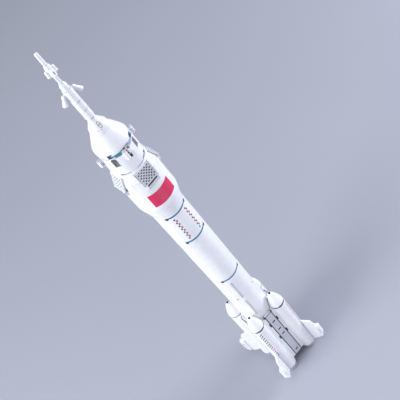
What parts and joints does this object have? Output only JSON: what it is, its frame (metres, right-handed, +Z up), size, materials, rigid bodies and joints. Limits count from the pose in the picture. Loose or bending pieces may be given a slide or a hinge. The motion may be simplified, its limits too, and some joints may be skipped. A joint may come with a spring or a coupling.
{
  "type": "toy space rocket",
  "caption": "Brick-built toy of a crewed launch rocket with escape tower, payload fairing, folding grid fins and strap-on boosters, standing on its tail.",
  "frame": {"origin": "on the floor, on the rocket's long axis, where it stands on its booster nozzles", "axes": "+Z up along the rocket's long axis, -Y the front, +X the rocket's right side seen from the front"},
  "size_m": [0.0682, 0.0682, 0.5305],
  "materials": {
    "white_abs": "glossy moulded white ABS",
    "teal_abs": "glossy teal ABS",
    "lattice_abs": "light grey ABS grille",
    "grey_abs": "light grey ABS",
    "dark_abs": "dark grey ABS"
  },
  "bodies": {
    "rocket": {"tower_tip_rod": "white_abs", "attitude_motors": "white_abs", "tower_rod": "white_abs", "tower_collar": "white_abs", "tower_brick_lower": "white_abs", "tower_brick_middle": "white_abs", "tower_brick_upper": "white_abs", "escape_nozzle_left": "white_abs", "escape_nozzle_right": "white_abs", "tower_skirt": "white_abs", "nose_cone": "white_abs", "nose_band": "teal_abs", "fairing_upper": "white_abs", "side_motor_front": "white_abs", "side_motor_right": "white_abs", "side_motor_back": "white_abs", "side_motor_left": "white_abs", "fairing_flare": "white_abs", "fairing_lower": "white_abs", "boat_tail": "white_abs", "fin_bracket_front": "white_abs", "fin_bracket_right": "white_abs", "fin_bracket_back": "white_abs", "fin_bracket_left": "white_abs", "core_section_1": "white_abs", "core_section_2": "white_abs", "core_section_3": "white_abs", "core_section_4": "white_abs", "core_section_5": "white_abs", "core_tail": "white_abs", "core_band_upper": "teal_abs", "core_band_middle": "teal_abs", "core_band_lower": "teal_abs", "cable_duct_upper": "grey_abs", "cable_duct_lower": "grey_abs", "tail_strip_front": "grey_abs", "tail_strip_right": "grey_abs", "tail_strip_back": "grey_abs", "tail_strip_left": "grey_abs", "booster_nose_front_right": "white_abs", "booster_body_front_right": "white_abs", "booster_fin_front_right": "white_abs", "booster_nose_back_right": "white_abs", "booster_body_back_right": "white_abs", "booster_fin_back_right": "white_abs", "booster_nose_back_left": "white_abs", "booster_body_back_left": "white_abs", "booster_fin_back_left": "white_abs", "booster_nose_front_left": "white_abs", "booster_body_front_left": "white_abs", "booster_fin_front_left": "white_abs", "core_engines": "dark_abs"},
    "grid_fin_front": {"grid_fin_front": "lattice_abs"},
    "grid_fin_right": {"grid_fin_right": "lattice_abs"},
    "grid_fin_back": {"grid_fin_back": "lattice_abs"},
    "grid_fin_left": {"grid_fin_left": "lattice_abs"}
  },
  "joints": [
    {"name": "grid_fin_front_hinge", "type": "hinge", "parent": "rocket", "child": "grid_fin_front", "pos_m": [0, -0.0206, 0.3786], "axis": [1, 0, 0], "range_deg": [0, 109]},
    {"name": "grid_fin_right_hinge", "type": "hinge", "parent": "rocket", "child": "grid_fin_right", "pos_m": [0.0206, 0, 0.3786], "axis": [0, 1, 0], "range_deg": [0, 109]},
    {"name": "grid_fin_back_hinge", "type": "hinge", "parent": "rocket", "child": "grid_fin_back", "pos_m": [0, 0.0206, 0.3786], "axis": [-1, 0, 0], "range_deg": [0, 109]},
    {"name": "grid_fin_left_hinge", "type": "hinge", "parent": "rocket", "child": "grid_fin_left", "pos_m": [-0.0206, 0, 0.3786], "axis": [0, -1, 0], "range_deg": [0, 109]}
  ]
}
